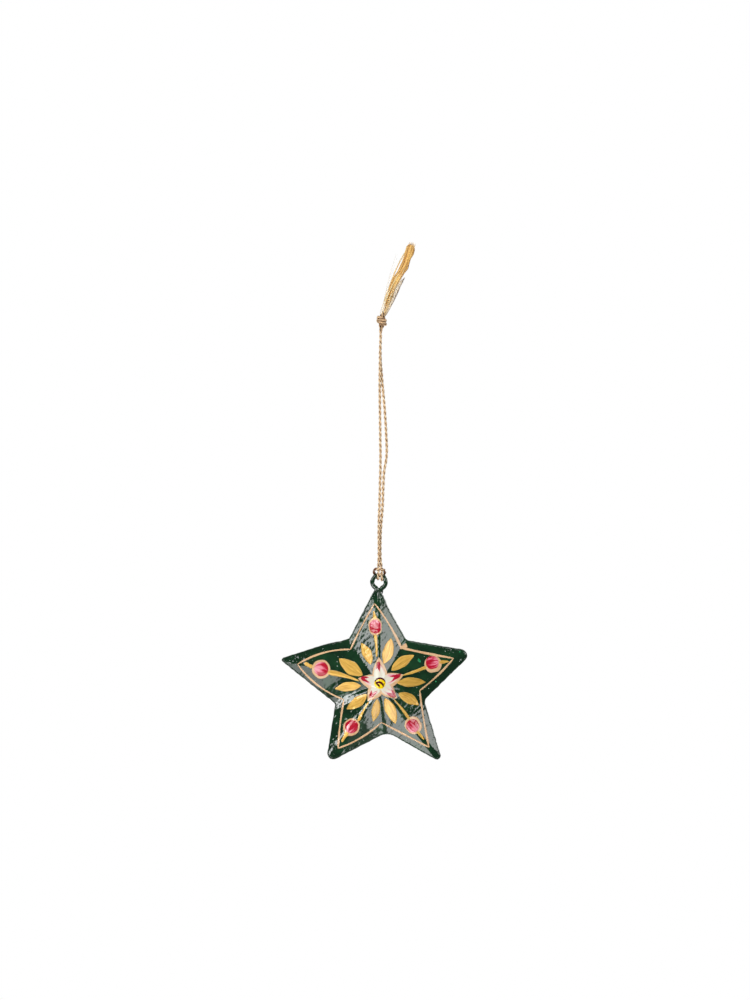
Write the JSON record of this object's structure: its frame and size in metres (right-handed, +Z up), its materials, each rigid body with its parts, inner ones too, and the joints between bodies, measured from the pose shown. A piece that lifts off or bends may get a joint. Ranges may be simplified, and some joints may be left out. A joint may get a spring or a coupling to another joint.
{
  "type": "hanging tin star ornament",
  "caption": "Hollow faceted star of pressed tin with a wire eye, hung from a knotted loop of twisted cord that ends in a tassel.",
  "frame": {"origin": "inside the cord loop, just under the knot that closes it, where the hook or twig carries the ornament", "axes": "+Z up along the hanging cord, -Y out of the painted front of the star, +X to the viewer's right"},
  "size_m": [0.0799, 0.018, 0.2238],
  "materials": {
    "green_lacquer": "gloss, brushed on by hand",
    "painted_wire": "gloss, brushed on by hand",
    "twisted_cord": "matt two-ply twist",
    "frayed_yarn": "matt loose fibres"
  },
  "bodies": {
    "hanger": {"cord_knot": "twisted_cord", "cord_tassel": "frayed_yarn"},
    "cord": {"cord_strand_left": "twisted_cord", "cord_strand_right": "twisted_cord"},
    "hitch": {"cord_hitch": "twisted_cord"},
    "star": {"front_shell": "green_lacquer", "back_shell": "green_lacquer", "rim_solder": "green_lacquer", "wire_eye": "painted_wire", "eye_solder": "green_lacquer"}
  },
  "joints": [
    {"name": "cord_twist", "type": "hinge", "parent": "hanger", "child": "cord", "pos_m": [0.0001, 0, -0.0017], "axis": [0, 0, 1], "range_deg": [-180, 180], "deforming": ["cord_strand_left", "cord_strand_right"]},
    {"name": "star_swing", "type": "hinge", "parent": "cord", "child": "hitch", "pos_m": [0.0001, 0, -0.097], "axis": [1, 0, 0], "range_deg": [-75, 75], "deforming": ["cord_strand_left", "cord_strand_right"]},
    {"name": "eye_tilt", "type": "hinge", "parent": "hitch", "child": "star", "pos_m": [-0.00025, 0, -0.11], "axis": [0, 1, 0], "range_deg": [-60, 60]}
  ]
}
